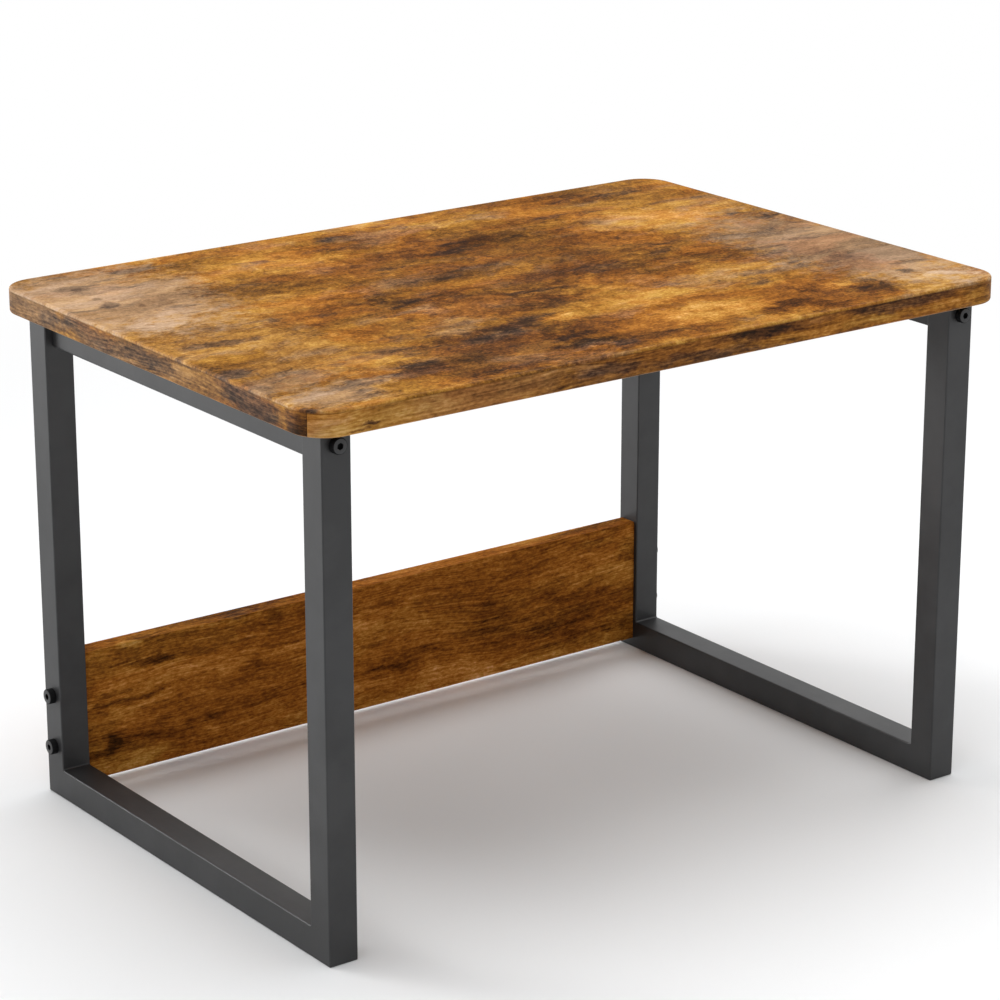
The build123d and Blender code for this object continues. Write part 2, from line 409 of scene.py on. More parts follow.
def pushed(tree, vector, cloud, reach):
    """Coordinates pushed about by a coloured noise, at most half of reach either way."""
    middle = {0: cloud, 1: (0.5, 0.5, 0.5)}
    push = node(tree, "ShaderNodeVectorMath", middle, operation="SUBTRACT").outputs[0]
    feeds = {0: push, 1: reach, 2: vector}
    return node(tree, "ShaderNodeVectorMath", feeds, operation="MULTIPLY_ADD").outputs[0]


def warped(tree, vector):
    """Coordinates that waver a little, for the grain, and more, so that no blot has a straight side."""
    wide = noise(tree, vector, 70, 2, 0.5, "Color")
    fine = noise(tree, vector, 12, 4, 0.65, "Color")
    gentle = pushed(tree, vector, wide, (0.045, 0.024, 0.0))
    return gentle, pushed(tree, gentle, fine, (0.016, 0.009, 0.0))


def swing(tree, value, reach):
    """Noise turned into a swing about zero: its middle gives 0."""
    return calc(tree, "MULTIPLY", calc(tree, "SUBTRACT", value, 0.5), reach)


def rustic_decor():
    """Vector has X along the grain. The other inputs shift the look. Colour and height come out."""
    group = bpy.data.node_groups.new("rustic_decor", "ShaderNodeTree")
    group.interface.new_socket("Vector", in_out="INPUT", socket_type="NodeSocketVector")
    for name in ("Tone", "Ash", "Rust", "Fibre"):
        group.interface.new_socket(name, in_out="INPUT", socket_type="NodeSocketFloat")
    group.interface.new_socket("Color", in_out="OUTPUT", socket_type="NodeSocketColor")
    group.interface.new_socket("Height", in_out="OUTPUT", socket_type="NodeSocketFloat")
    start = node(group, "NodeGroupInput")
    vector = start.outputs["Vector"]
    gentle, wavy = warped(group, vector)

    fields = noise(group, stretch(group, wavy, (0.4, 1.0, 1.0)), 52, 5, 0.6)
    clouds = noise(group, stretch(group, wavy, (0.4, 1.0, 1.0), (7.3, 2.9, 1.1)), 24, 7, 0.68)
    ashes = noise(group, stretch(group, wavy, (0.5, 1.0, 1.0), (3.1, 1.7, 0.4)), 40, 6, 0.66)
    rusts = noise(group, stretch(group, wavy, (0.5, 1.0, 1.0), (9.2, 4.6, 2.7)), 36, 6, 0.64)
    streaky = noise(group, stretch(group, wavy, (0.45, 1.0, 1.0), (5.2, 3.3, 0.9)), 6.5, 5, 0.72)
    cloudy = noise(group, stretch(group, wavy, (0.95, 1.0, 1.0), (8.6, 1.4, 5.5)), 8.5, 5, 0.7)
    fibrous = start.outputs["Fibre"]
    mottle = calc(group, "MULTIPLY_ADD", calc(group, "SUBTRACT", streaky, cloudy), fibrous, cloudy)
    speckle = noise(group, stretch(group, vector, (0.8, 1.0, 1.0), (2.2, 8.1, 4.0)), 1.7, 3, 0.65)
    fibres = noise(group, stretch(group, gentle, (0.05, 1.0, 1.0), (1.3, 5.2, 2.0)), 1.4, 3, 0.65)
    pores = noise(group, stretch(group, vector, (0.16, 1.0, 1.0), (4.4, 0.6, 3.0)), 0.9, 2, 0.5)

    tone = calc(group, "ADD", 0.5, swing(group, fields, 1.3))
    tone = calc(group, "ADD", tone, start.outputs["Tone"])
    smooth = calc(group, "MULTIPLY_ADD", start.outputs["Ash"], 0.35, tone)
    calm = spread(group, smooth, 0.5, 0.95, 1.0, 0.5)
    fine = calc(group, "ADD", swing(group, speckle, 0.75), swing(group, fibres, fibrous))
    fine = calc(group, "ADD", fine, swing(group, mottle, 1.05))
    tone = calc(group, "ADD", tone, calc(group, "MULTIPLY", fine, calm))
    dark = spread(group, clouds, 0.55, 0.66)
    tone = calc(group, "SUBTRACT", tone, calc(group, "MULTIPLY", dark, 0.2))
    pits = spread(group, pores, 0.64, 0.74)
    tone = calc(group, "SUBTRACT", tone, calc(group, "MULTIPLY", pits, 0.14), clamp=True)

    ash = spread(group, ashes, 0.5, 0.66, 0.0, 0.55)
    ash = calc(group, "ADD", ash, calc(group, "MULTIPLY", dark, 0.35))
    ash = calc(group, "ADD", ash, start.outputs["Ash"], clamp=True)
    colour = blend_colour(group, ash, ramp(group, tone, warm_stops), ramp(group, tone, ash_stops))
    rust = spread(group, rusts, 0.42, 0.6)
    rust = calc(group, "ADD", rust, start.outputs["Rust"], clamp=True)
    colour = blend_colour(group, rust, colour, rust_filter, "MULTIPLY")

    height = calc(group, "SUBTRACT", calc(group, "ADD", fibres, speckle), pits)
    end = node(group, "NodeGroupOutput")
    group.links.new(colour, end.inputs["Color"])
    group.links.new(height, end.inputs["Height"])
    return group


decor = rustic_decor()
print("decor nodes:", len(decor.nodes))

# %% [markdown]
# ## Stains, knots and painted light
#
# The print also has marks that the eye remembers: dark knots, smudges and golden fields. They could be
# painted, but then the decor would need an image. Here each one is a soft ellipse at a chosen place that
# shifts the tone, the ash and the rust. The ellipses are measured on wavering coordinates and crumble at the
# rim, so none looks drawn. A few marks on the top paint light as well: its pale fields at the two ends are
# partly print and partly a painted sheen, and the dark at its front left is partly print and partly painted
# shade.

# %% Stains, knots and painted light
def stains_and_painted_light(tree, vector, marks, crumbling):
    """Sum of soft ellipses: (x, y, half length, half width, tone, ash, rust), lengths in millimetres."""
    wavy = warped(tree, vector)[1]
    crumble = swing(tree, noise(tree, stretch(tree, vector, (0.8, 1.0, 1.0)), 9, 6, 0.7), crumbling)
    total = (0.0, 0.0, 0.0)
    for x, y, half_length, half_width, *shift in marks:
        scale = (1000 / half_length, 1000 / half_width, 0.0)
        place = (-x / half_length, -y / half_width, 0.0)
        local = stretch(tree, wavy, scale, place)
        distance = node(tree, "ShaderNodeVectorMath", {0: local}, operation="LENGTH").outputs["Value"]
        near = spread(tree, calc(tree, "ADD", distance, crumble), 0.55, 1.3, 1.0, 0.0)
        feeds = {0: near, 1: shift, 2: total}
        total = node(tree, "ShaderNodeVectorMath", feeds, operation="MULTIPLY_ADD").outputs[0]
    return node(tree, "ShaderNodeSeparateXYZ", {"Vector": total}).outputs


top_marks = [
    # the left end, from the rear to the front; its pale fields are partly print and partly a painted sheen
    (-235, 110, 70, 95, 0.15, 0.75, -0.8),
    (-238, 149, 17, 8, -0.20, 0.3, 0.0),
    (-251, 98, 8, 7, -0.26, 0.4, 0.0),
    (-248, 117, 4, 4, -0.20, 0.2, 0.0),
    (-212, 95, 34, 16, 0.12, 0.0, 0.0),
    (-188, 171, 16, 9, -0.08, 0.3, 0.0),
    (-194, 146, 30, 13, 0.14, -0.3, 0.0),
    (-240, -40, 70, 110, 0.0, 0.1, -0.8),
    (-250, 22, 40, 50, -0.03, 0.0, 0.0),
    (-240, -25, 24, 8, -0.26, 0.2, 0.0),
    (-256, -54, 26, 20, 0.02, -0.1, 0.0),
    (-267, -88, 14, 9, -0.16, 0.7, 0.0),
    (-252, -119, 34, 16, -0.02, 0.5, 0.3),
    (-258, -150, 22, 12, 0.12, 0.2, -0.6),
    (-268, -176, 10, 6, -0.30, 0.2, 0.0),
    (-230, -160, 40, 22, 0.12, 0.6, -0.6),
    (-220, -158, 22, 16, 0.12, 0.0, 0.0),
    # the front, from the left to the right; the dark at the front left is partly print and partly painted
    # shade
    (-190, -166, 28, 14, 0.10, -0.4, -0.4),
    (-166, -146, 15, 17, -0.16, 0.1, 0.0),
    (-110, -145, 66, 50, -0.21, 0.1, 0.3),
    (-98, -112, 24, 9, -0.06, 0.4, 0.0),
    (-66, -96, 24, 8, -0.16, 0.2, 0.0),
    (-31, -98, 17, 9, 0.24, -0.4, 0.2),
    (-38, -48, 60, 28, -0.14, 0.1, 0.4),
    (-52, -160, 17, 11, -0.20, 0.2, -0.4),
    (-37, -173, 10, 8, -0.08, 0.7, 0.0),
    (-20, -150, 44, 40, -0.12, -0.2, 0.6),
    (40, -150, 66, 28, 0.10, -0.8, 0.5),
    (75, -167, 17, 8, 0.06, -0.3, -0.7),
    (87, -170, 11, 12, -0.22, 0.0, 0.0),
    (117, -163, 18, 9, -0.24, 0.0, 0.2),
    (130, -165, 50, 30, -0.12, -0.9, 0.8),
    (150, -140, 14, 8, -0.20, 0.0, 0.2),
    (166, -143, 14, 9, 0.18, -0.4, 0.2),
    (186, -158, 16, 17, -0.20, 0.0, 0.3),
    # the right end; its pale fields are partly print and partly a painted sheen
    (237, -142, 8, 6, -0.34, 0.4, 0.0),
    (232, -170, 42, 22, 0.24, 0.0, -0.8),
    (255, -100, 26, 18, 0.08, 0.5, 0.0),
    (240, -60, 60, 120, 0.01, 0.8, -0.3),
    # the middle
    (20, 40, 150, 100, -0.14, 0.0, 0.2),
]
print("marks on the top:", len(top_marks))

# %% [markdown]
# ## Finishing the wooden surfaces
#
# The finish is a satin lacquer over the print. The relief is shallow: fibres and pores a few hundredths of a
# millimetre deep, just enough to break up the gloss.
#
# The gloss itself is kept very low. Seen at a low angle, any lacquer mirrors the white surround and lays a
# pale haze over the dark fields, and this print's darks stay deep. A pale sheen is painted instead into the
# marks at the two ends of the top. On the band, which faces the eye, a little more gloss does no harm and
# softens its edges.
#
# Two surfaces need their own coordinates. The band is one long strip, so it reads an attribute, the distance
# along the strip from the seam. Its grain is also drawn out, and so is the back board's.

# %% Finishing the wooden surfaces
board_gloss = 0.006
band_gloss = 0.06


def finish_wood(tree, shader, colour, height, gloss):
    """Satin lacquer over a printed decor."""
    tree.links.new(colour, shader.inputs["Base Color"])
    worn = noise(tree, object_place(tree), 55, 4)
    rough = spread(tree, worn, 0.3, 0.7, 0.42, 0.52)
    rough = calc(tree, "ADD", rough, calc(tree, "MULTIPLY", height, 0.05))
    tree.links.new(rough, shader.inputs["Roughness"])
    tree.links.new(bump(tree, height, 0.03), shader.inputs["Normal"])
    shader.inputs["Specular IOR Level"].default_value = gloss


def use_decor(tree, vector, marks, length=1.0, fibre=0.25, lift=0.0, crumbling=2.2):
    """One copy of the decor group, with these marks on it. Length above 1 draws out the grain, and lift makes
    it paler, a painted highlight.
    """
    tone, ash, rust = stains_and_painted_light(tree, vector, marks, crumbling)
    made = tree.nodes.new("ShaderNodeGroup")
    made.node_tree = decor
    tree.links.new(stretch(tree, vector, (1 / length, 1.0, 1.0)), made.inputs["Vector"])
    tree.links.new(calc(tree, "ADD", tone, lift), made.inputs["Tone"])
    tree.links.new(ash, made.inputs["Ash"])
    tree.links.new(rust, made.inputs["Rust"])
    made.inputs["Fibre"].default_value = fibre
    return made.outputs["Color"], made.outputs["Height"]


def top_wood():
    material, tree, shader = new_material("wood_top")
    place = object_place(tree)
    colour, height = use_decor(tree, place, top_marks)
    finish_wood(tree, shader, colour, height, board_gloss)
    return material


top_material = top_wood()
print("material:", top_material.name)

# %% [markdown]
# ## The board
#
# The board is a flat slab with rounded corners. A rectangle gets its four corners rounded while it is still
# flat, because a bevel on one face is clean, and is then pushed up to its thickness.

# %% The board
band_thickness = 2.0 * MM
board_corner = 23.0 * MM
corner_steps = 14


def board_panel():
    bm = bmesh.new()
    half_x = board_high.x - band_thickness
    half_y = board_high.y - band_thickness
    slab = outline_face(bm, [
        (-half_x, -half_y, board_low.z),
        (half_x, -half_y, board_low.z),
        (half_x, half_y, board_low.z),
        (-half_x, half_y, board_low.z),
    ])
    bevel_corners(bm, list(slab.verts), board_corner - band_thickness, corner_steps)
    extrude(bm, bm.faces, (0, 0, board_thickness))
    return finish_piece("board", bm, [top_material], ["top_board"])


board_panel()

# %% [markdown]
# ## The edge band
#
# A plastic band with the same decor is glued round the board. A machine feeds it from one point right round
# to the start, so it has one seam, here on the front left corner. The mesh is made the same way. Its section
# stands at the seam and is pushed on, station by station, turning on the corners. Each new station notes how
# far it has come, and the decor on the band later follows that distance round the corners.

# %% The edge band
band_rim = 1.8 * MM
seam_gap = 0.3 * MM
seam_angle = math.radians(30)
straight_x = 2 * (board_high.x - board_corner)
straight_y = 2 * (board_high.y - board_corner)
gap_angle = seam_gap / board_corner


def band_section(bm):
    """The band's section at the seam, its two outer corners rounded."""
    inner = board_corner - band_thickness
    flat = [
        (inner, board_low.z),
        (board_corner, board_low.z),
        (board_corner, board_high.z),
        (inner, board_high.z),
    ]
    section = outline_face(bm, [(r, 0, z) for r, z in flat])
    outer = [v for v in section.verts if close_to(v.co.x, board_corner)]
    bevel_corners(bm, outer, band_rim, 5)
    return list(bm.faces)


def corner_centre(sign_x, sign_y):
    return Vector((sign_x * straight_x / 2, sign_y * straight_y / 2, 0))


def edge_band(material):
    bm = bmesh.new()
    run = bm.verts.layers.float.new("band_run")
    front_left = corner_centre(-1, -1)
    face = band_section(bm)
    start = math.pi + seam_angle + gap_angle / 2
    bmesh.ops.rotate(bm, verts=bm.verts, cent=(0, 0, 0), matrix=Matrix.Rotation(start, 3, "Z"))
    bmesh.ops.translate(bm, verts=bm.verts, vec=front_left)
    travelled = 0.0

    def note(faces):
        for f in faces:
            for v in f.verts:
                v[run] = travelled

    # each leg of the trip: the corner to turn on, how far to turn, then the straight run after it
    quarter = math.pi / 2
    trip = [
        (front_left, quarter - seam_angle - gap_angle / 2, Vector((straight_x, 0, 0))),
        (corner_centre(1, -1), quarter, Vector((0, straight_y, 0))),
        (corner_centre(1, 1), quarter, Vector((-straight_x, 0, 0))),
        (corner_centre(-1, 1), quarter, Vector((0, -straight_y, 0))),
        (front_left, seam_angle - gap_angle / 2, None),
    ]
    note(face)
    for centre, turn, straight in trip:
        steps = max(4, round(corner_steps * turn / quarter))
        for _ in range(steps):
            face = extrude(bm, face, (0, 0, 0))
            verts = {v for f in face for v in f.verts}
            step = Matrix.Rotation(turn / steps, 3, "Z")
            bmesh.ops.rotate(bm, verts=list(verts), cent=centre, matrix=step)
            travelled += board_corner * turn / steps
            note(face)
        if straight is not None:
            face = extrude(bm, face, straight)
            travelled += straight.length
            note(face)
    print("band length", round(travelled / MM, 1), "mm")
    return finish_piece("edge_band", bm, [material], ["top_edge_band"])


# %% [markdown]
# ## The decor on the band
#
# On the flat of the band the decor follows the distance along it. The soft upper rim is different: there the
# print of the top runs over the edge, painted a little paler as a highlight where the rounding catches the
# light, and ends in a thin dark line, where it meets the band. So the material mixes two decors by height,
# and darkens the line between them. Along the lower rim a fine pale line is painted, a highlight where the
# rounding reflects the floor.

# %% The decor on the band
rim_line = board_high.z - 2.0 * MM
rim_line_width = 0.35 * MM
lower_rim_highlight_from = board_low.z + 0.2 * MM
lower_rim_highlight_to = board_low.z + 0.9 * MM
front_start = board_corner * (math.pi / 2 - seam_angle) / MM
band_total = (2 * (straight_x + straight_y) + 2 * math.pi * board_corner) / MM
band_middle = (board_low.z + board_high.z) / 2 / MM


def on_front(x):
    """Distance along the band, in millimetres, of a place on its front."""
    return front_start + x + straight_x / 2 / MM


def on_left(y):
    """Distance along the band, in millimetres, of a place on its left side."""
    return band_total - board_corner * seam_angle / MM - (y + straight_y / 2 / MM)


band_marks = [
    (on_front(0), band_middle, 330, 30, -0.02, 0.05, 0.5),
    (on_front(-240), band_middle, 60, 12, 0.06, 0.0, -0.3),
    (on_front(-236), band_middle - 2, 7, 1.2, -0.34, 0.2, 0.0),
    (on_front(-243), band_middle - 4.5, 9, 0.8, -0.2, 0.1, 0.0),
    (on_front(-150), band_middle, 60, 12, 0.02, 0.2, 0.0),
    (on_front(-58), band_middle - 1, 20, 4, -0.26, 0.3, 0.0),
    (on_front(-10), band_middle, 44, 12, -0.02, 0.0, 0.2),
    (on_front(64), band_middle + 4, 40, 4, -0.24, 0.1, 0.0),
    (on_front(100), band_middle - 4, 60, 4, 0.08, -0.2, 0.0),
    (on_front(182), band_middle + 3, 50, 6, -0.20, 0.2, 0.0),
    (on_front(190), band_middle - 6, 60, 3, 0.14, -0.3, -0.4),
    (on_front(250), band_middle - 4, 30, 6, 0.12, -0.2, 0.0),
    (on_left(150), band_middle, 50, 12, -0.10, 0.5, -0.4),
    (on_left(40), band_middle, 90, 6, -0.14, 0.3, 0.0),
    (on_left(0), band_middle, 170, 12, -0.07, 0.3, -0.3),
    (on_left(-45), band_middle + 3, 12, 4, 0.20, 0.0, 0.0),
    (on_left(-126), band_middle, 26, 12, -0.20, 0.5, 0.0),
    (on_left(-178), band_middle, 16, 12, -0.26, 0.0, 0.6),
]


def band_wood():
    material, tree, shader = new_material("wood_edge_band")
    place = object_place(tree)
    parts = node(tree, "ShaderNodeSeparateXYZ", {"Vector": place})
    run = node(tree, "ShaderNodeAttribute", attribute_name="band_run").outputs["Fac"]
    along = node(tree, "ShaderNodeCombineXYZ", {"X": run, "Y": parts.outputs["Z"], "Z": 0.4}).outputs[0]
    side_colour, side_height = use_decor(tree, along, band_marks, length=2.0, fibre=0.8, crumbling=1.2)
    # the top's decor on the upper rim is lifted a little paler: a painted highlight
    top_colour, top_height = use_decor(tree, place, top_marks, lift=0.05)
    over = spread(tree, parts.outputs["Z"], rim_line - rim_line_width, rim_line + rim_line_width)
    colour = blend_colour(tree, over, side_colour, top_colour)
    from_line = calc(tree, "ABSOLUTE", calc(tree, "SUBTRACT", parts.outputs["Z"], rim_line))
    on_line = spread(tree, from_line, 0.0, 2 * rim_line_width, 0.3, 0.0)
    colour = blend_colour(tree, on_line, colour, srgb(46, 28, 18))
    # a painted highlight: a fine pale line along the lower rim, where the rounding reflects the floor
    lower_rim_highlight = spread(tree, parts.outputs["Z"], lower_rim_highlight_from, lower_rim_highlight_to, 0.6, 0.0)
    colour = blend_colour(tree, lower_rim_highlight, colour, srgb(208, 168, 126))
    climb = calc(tree, "SUBTRACT", top_height, side_height)
    height = calc(tree, "MULTIPLY_ADD", climb, over, side_height)
    finish_wood(tree, shader, colour, height, band_gloss)
    return material


band_material = band_wood()
edge_band(band_material)

# %% [markdown]
# ## The side frames
#
# Each side frame is two legs and a bottom rail of 21 mm square tube, mitred, welded and ground smooth before
# it is coated, so no seam shows. That makes it one skin, and it is modelled as one: a U is drawn from the
# side, pushed out to the tube's width, and all its long edges are rounded as a tube's are. The two inner
# corners are rounded first, a little, where the weld fills them. The open ends are inset and pushed down.

# %% The side frames
tube_edge = 1.0 * MM
tube_wall = 1.2 * MM
weld_fillet = 1.2 * MM


def side_frame(side_name, side):
    bm = bmesh.new()
    near = side * leg_x - tube / 2
    inner_front = frame_front + tube
    inner_rear = frame_rear - tube
    u_shape = outline_face(bm, [(near, y, z) for y, z in (
        (frame_front, leg_top),
        (frame_front, 0),
        (frame_rear, 0),
        (frame_rear, leg_top),
        (inner_rear, leg_top),
        (inner_rear, tube),
        (inner_front, tube),
        (inner_front, leg_top),
    )])
    inside = [v for v in u_shape.verts if close_to(v.co.z, tube)]
    bevel_corners(bm, inside, weld_fillet, 4)
    extrude(bm, bm.faces, (tube, 0, 0))

    def is_long_edge(e):
        a, b = (v.co for v in e.verts)
        at_top = close_to(a.z, leg_top) and close_to(b.z, leg_top)
        at_foot = close_to(a.z, 0) and close_to(b.z, 0) and close_to(abs(a.y), frame_rear)
        crosses = not close_to(a.x, b.x)
        return at_foot if crosses else not at_top

    bevel_edges(bm, [e for e in bm.edges if is_long_edge(e)], tube_edge, 4)
    ends = [f for f in bm.faces if all(close_to(v.co.z, leg_top) for v in f.verts)]
    bmesh.ops.inset_individual(bm, faces=ends, thickness=tube_wall, use_even_offset=True)
    extrude(bm, ends, (0, 0, tube + tube_wall - leg_top))
    nodes = [f"{side_name}_front_leg", f"{side_name}_rear_leg", f"{side_name}_bottom_rail"]
    return finish_piece(f"{side_name}_side_frame", bm, [coat], nodes)


for side_name, side in sides.items():
    side_frame(side_name, side)

# %% [markdown]
# ## The flat tubes under the board
#
# A flat tube joins the tops of each pair of legs and carries the board. It is narrower than the legs, so its
# face lies a few millimetres back. The rounded section is drawn first and then pushed along, and the two ends
# are opened into a bore by removing an inset face from each and bridging the two loops.

# %% The flat tubes under the board
rail_edge = 1.8 * MM
rail_wall = 1.2 * MM
rail_end_edge = 1.0 * MM


def top_rail(side_name, side):
    bm = bmesh.new()
    half_width = (rail_high.x - rail_low.x) / 2
    middle = side * leg_x
    section = outline_face(bm, [(x, rail_low.y, z) for x, z in (
        (middle - half_width, rail_low.z),
        (middle + half_width, rail_low.z),
        (middle + half_width, rail_high.z),
        (middle - half_width, rail_high.z),
    )])
    bevel_corners(bm, list(section.verts), rail_edge, 4)
    extrude(bm, bm.faces, (0, rail_high.y - rail_low.y, 0))
    ends = [f for f in bm.faces if close_to(f.verts[0].co.y, f.verts[1].co.y) and len(f.verts) > 4]
    rims = list({e for f in ends for e in f.edges})
    bevel_edges(bm, rims, rail_end_edge, 3)
    ends = [f for f in bm.faces if len(f.verts) > 4]
    rim = rail_wall - rail_end_edge / 2
    bmesh.ops.inset_individual(bm, faces=ends, thickness=rim, use_even_offset=True)
    loops = [e for f in ends for e in f.edges]
    bmesh.ops.delete(bm, geom=ends, context="FACES_ONLY")
    bmesh.ops.bridge_loops(bm, edges=loops)
    return finish_piece(f"{side_name}_flat_tube", bm, [coat], [f"{side_name}_top_rail"])


for side_name, side in sides.items():
    top_rail(side_name, side)

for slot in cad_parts["rail_end_blocks"].material_slots:
    slot.material = zinc

# %% [markdown]
# ## Bolts
#
# A bolt is round, so it grows from one circle: pushed up into the head, drawn in at the rim, and its top
# inset for the socket. The socket's ring starts round, and each of its points is then slid out to the side
# of a hexagon, which keeps every face a neat quad. Every second point of the head's side lies a little
# further in, and that is the fine knurl that fingers grip. The finished bolt is copied to each place.

# %% Bolts
bolt_head_radius = 5.25 * MM
bolt_head_height = 4.5 * MM
bolt_rim = 0.5 * MM
bolt_shank_radius = 3.0 * MM
socket_flat = 2.0 * MM
socket_depth = 2.5 * MM
knurl_depth = 0.12 * MM
bolt_points = 72
# how much further round each bolt was tightened than the one before, in radians
twist_step = 0.37
leg_bolt_grip = 15.0 * MM
back_bolt_grip = 30.0 * MM


def ring_up(bm, face, lift, factor):
    """Push a face along the bolt's axis and scale it about that axis."""
    face = extrude(bm, face, (0, 0, lift))
    verts = list({v for f in face for v in f.verts})
    bmesh.ops.scale(bm, vec=(factor, factor, 1), verts=verts)
    return face


def add_bolt(bm, length, place):
    """Add one bolt, its head's underside on the leg, turned and moved by place."""
    part = bmesh.new()
    bmesh.ops.create_circle(part, cap_ends=True, segments=bolt_points, radius=bolt_head_radius)
    for index, v in enumerate(part.verts):
        if index % 2:
            v.co *= 1 - knurl_depth / bolt_head_radius
    face = list(part.faces)
    face = ring_up(part, face, bolt_head_height - bolt_rim, 1.0)
    side_top = 1 - 0.3 * bolt_rim / bolt_head_radius
    face = ring_up(part, face, 0.7 * bolt_rim, side_top)
    rim_top = (bolt_head_radius - bolt_rim) / (bolt_head_radius * side_top)
    face = ring_up(part, face, 0.3 * bolt_rim, rim_top)
    for f in part.faces:
        f.material_index = 1
    for f in face:
        f.material_index = 0

    # the socket's mouth: a smaller ring, slid onto a hexagon
    ledge = bolt_head_radius - bolt_rim - socket_flat
    bmesh.ops.inset_individual(part, faces=face, thickness=ledge)
    for v in {v for f in face for v in f.verts}:
        angle = math.atan2(v.co.y, v.co.x) % (math.pi / 3)
        reach = socket_flat / math.cos(angle - math.pi / 6)
        flat = Vector((v.co.x, v.co.y, 0)).normalized() * reach
        v.co.x, v.co.y = flat.x, flat.y
    floor = extrude(part, face, (0, 0, -socket_depth))
    for f in part.faces:
        if all(v.co.xy.length < socket_flat * 1.2 for v in f.verts):
            f.material_index = 1
    for f in floor:
        f.material_index = 1

    # the shank, under the head
    under = [f for f in part.faces if all(close_to(v.co.z, 0) for v in f.verts)]
    bmesh.ops.inset_individual(part, faces=under, thickness=bolt_head_radius - bolt_shank_radius)
    shank = extrude(part, under, (0, 0, bolt_rim - length))
    shank = extrude(part, shank, (0, 0, -bolt_rim))
    bmesh.ops.scale(part, vec=(0.8, 0.8, 1), verts=list({v for f in shank for v in f.verts}))
    bmesh.ops.transform(part, matrix=place, verts=part.verts)
    mesh = bpy.data.meshes.new("bolt_part")
    part.to_mesh(mesh)
    part.free()
    bm.from_mesh(mesh)
    bpy.data.meshes.remove(mesh)


def facing(point, direction, twist=0.0):
    """A matrix that stands +Z along direction at a point."""
    turn = Vector(direction).to_track_quat("Z", "Y").to_matrix().to_4x4()
    return Matrix.Translation(point) @ turn @ Matrix.Rotation(twist, 4, "Z")


leg_bolt_z = (leg_bolt_low.z + leg_bolt_high.z) / 2
leg_bolt_length = tube + leg_bolt_grip
bm = bmesh.new()
twist = 0.0
for side in sides.values():
    for end, face_y in ((-1, frame_front), (1, frame_rear)):
        twist += twist_step
        place = facing((side * leg_x, face_y, leg_bolt_z), (0, end, 0), twist)
        add_bolt(bm, leg_bolt_length, place)
finish_piece("frame_bolts", bm, [bolt_face, bolt_side], ["leg_bolts"], 40, False)

back_bolt_length = tube + back_bolt_grip
back_y = (back_low.y + back_high.y) / 2
bolt_levels = (back_bolt_low.z + bolt_head_radius, back_bolt_high.z - bolt_head_radius)
bm = bmesh.new()
for side in sides.values():
    outer = side * (leg_x + tube / 2)
    for level in bolt_levels:
        twist += twist_step
        place = facing((outer, back_y, level), (side, 0, 0), twist)
        add_bolt(bm, back_bolt_length, place)
finish_piece("board_bolts", bm, [bolt_face, bolt_side], ["back_board_bolts"], 40, False)

# %% [markdown]
# ## The back board
#
# A low board between the rear legs stiffens the frame. It is the same particle board, with thin strips glued
# on its edges. From behind it shows four round holes with a barrel nut in each. A drill makes such a hole,
# and here a Boolean modifier does the same: a rod is placed where the drill would go and taken away.

# %% The back board
nut_radius = 5.0 * MM
nut_hole_radius = 5.1 * MM
nut_floor = 1.5 * MM
strip_edge = 0.4 * MM
strip_joint = 0.1 * MM
nut_places = [
    (side * (nut_high.x - nut_radius), level)
    for side in sides.values()
    for level in bolt_levels
]
back_marks = [
    (0, 56, 300, 60, 0.07, -0.7, 0.7),
    (-206, 99, 12, 5, 0.3, 0.0, -0.6),
    (-221, 33, 6, 5, -0.22, 0.2, 0.0),
    (-221, 33, 12, 9, -0.12, 0.1, 0.0),
    (-224, 47, 16, 3, -0.12, 0.1, 0.0),
    (-192, 85, 18, 2.5, -0.26, 0.0, 0.0),
    (-214, 62, 34, 1.5, -0.2, 0.0, 0.0),
    (-214, 18, 40, 8, 0.14, 0.0, -0.6),
]


def back_wood():
    material, tree, shader = new_material("wood_back_board")
    parts = node(tree, "ShaderNodeSeparateXYZ", {"Vector": object_place(tree)})
    rise = calc(tree, "ADD", parts.outputs["Z"], parts.outputs["Y"])
    rise = calc(tree, "SUBTRACT", rise, back_low.y)
    upright = node(tree, "ShaderNodeCombineXYZ", {"X": parts.outputs["X"], "Y": rise, "Z": 1.3}).outputs[0]
    colour, height = use_decor(tree, upright, back_marks, length=1.8, fibre=0.7, crumbling=0.9)
    # the back board's decor is multiplied a shade redder than the top's
    colour = blend_colour(tree, 1.0, colour, (1.0, 0.9, 0.86, 1.0), "MULTIPLY")
    finish_wood(tree, shader, colour, height, board_gloss)
    return material


def cut_away(bm, cutter):
    """Take the cutter's volume out of a mesh with a Boolean modifier."""
    meshes = []
    for each in (bm, cutter):
        mesh = bpy.data.meshes.new("cutting")
        each.to_mesh(mesh)
        each.free()
        meshes.append(mesh)
    body, tool = (bpy.data.objects.new("cutting", mesh) for mesh in meshes)
    for each in (body, tool):
        bpy.context.scene.collection.objects.link(each)
    modifier = body.modifiers.new("cut", "BOOLEAN")
    modifier.operation = "DIFFERENCE"
    modifier.solver = "EXACT"
    modifier.object = tool
    graph = bpy.context.evaluated_depsgraph_get()
    result = bmesh.new()
    result.from_mesh(body.evaluated_get(graph).data)
    for each, mesh in ((body, meshes[0]), (tool, meshes[1])):
        bpy.data.objects.remove(each)
        bpy.data.meshes.remove(mesh)
    return result


def add_box(bm, low, high):
    """A box between two corners."""
    size = Vector(high) - Vector(low)
    middle = (Vector(high) + Vector(low)) / 2
    place = Matrix.Translation(middle) @ Matrix.Diagonal((*size, 1))
    bmesh.ops.create_cube(bm, size=1.0, matrix=place)


